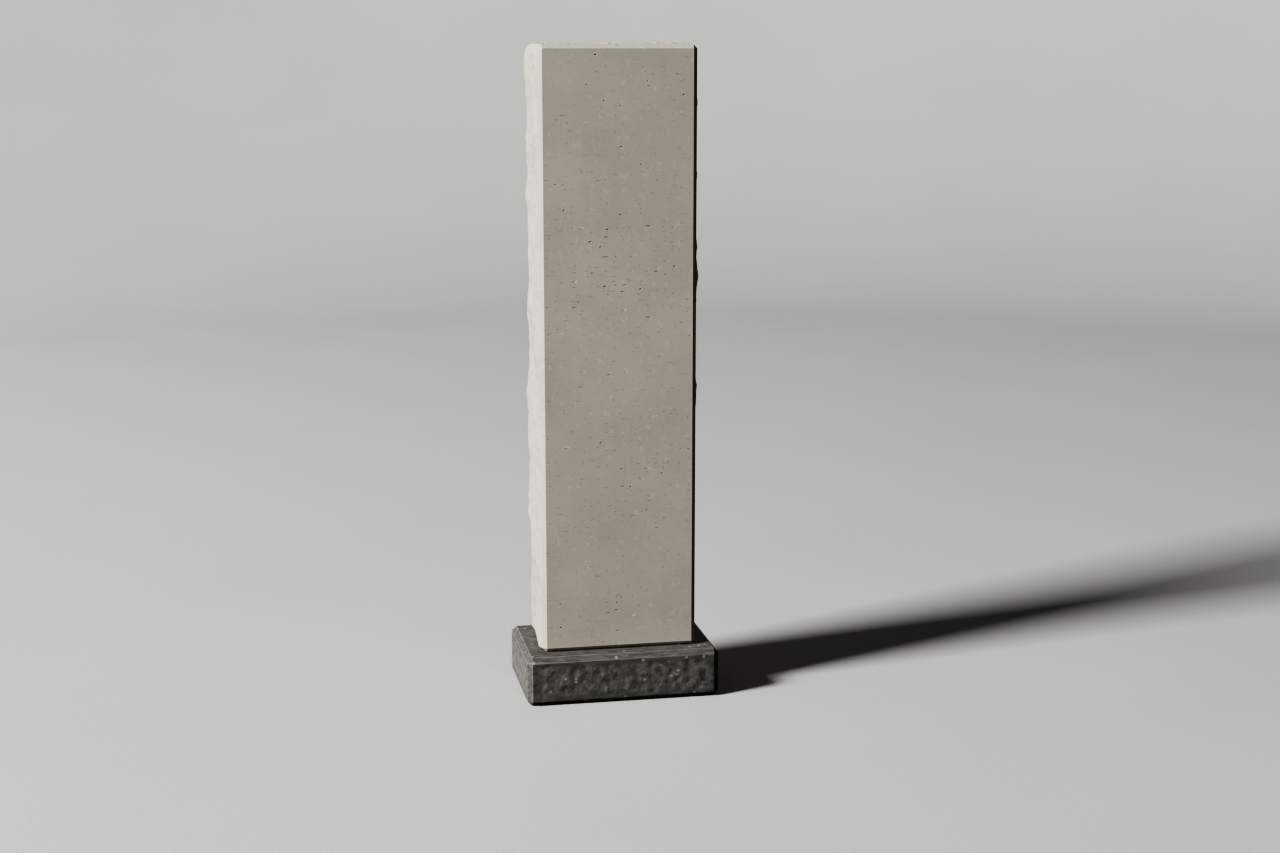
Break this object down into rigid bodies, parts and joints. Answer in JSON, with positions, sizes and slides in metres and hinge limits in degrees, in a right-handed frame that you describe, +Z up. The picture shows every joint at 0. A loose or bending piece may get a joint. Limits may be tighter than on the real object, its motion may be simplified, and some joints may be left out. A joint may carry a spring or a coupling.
{
  "type": "stele",
  "caption": "Upright grave stele: a tall pale limestone slab with a honed chamfered front and split sides and top, standing on a low dark stone plinth.",
  "frame": {"origin": "middle of the plinth's underside, on the ground", "axes": "+Z up along the slab's height, +X to the right along the front, +Y to the back, so the honed front faces -Y"},
  "size_m": [0.375, 0.2416, 1.2522],
  "materials": {
    "limestone": "pale shelly limestone, honed in front with small open pores, split at the sides and top, sawn at the back",
    "dark_stone": "dark grey-brown stone with light specks, smooth on top and at the chamfers, pointed at the sides"
  },
  "bodies": {
    "root": {"slab": "limestone", "plinth": "dark_stone"}
  },
  "joints": []
}
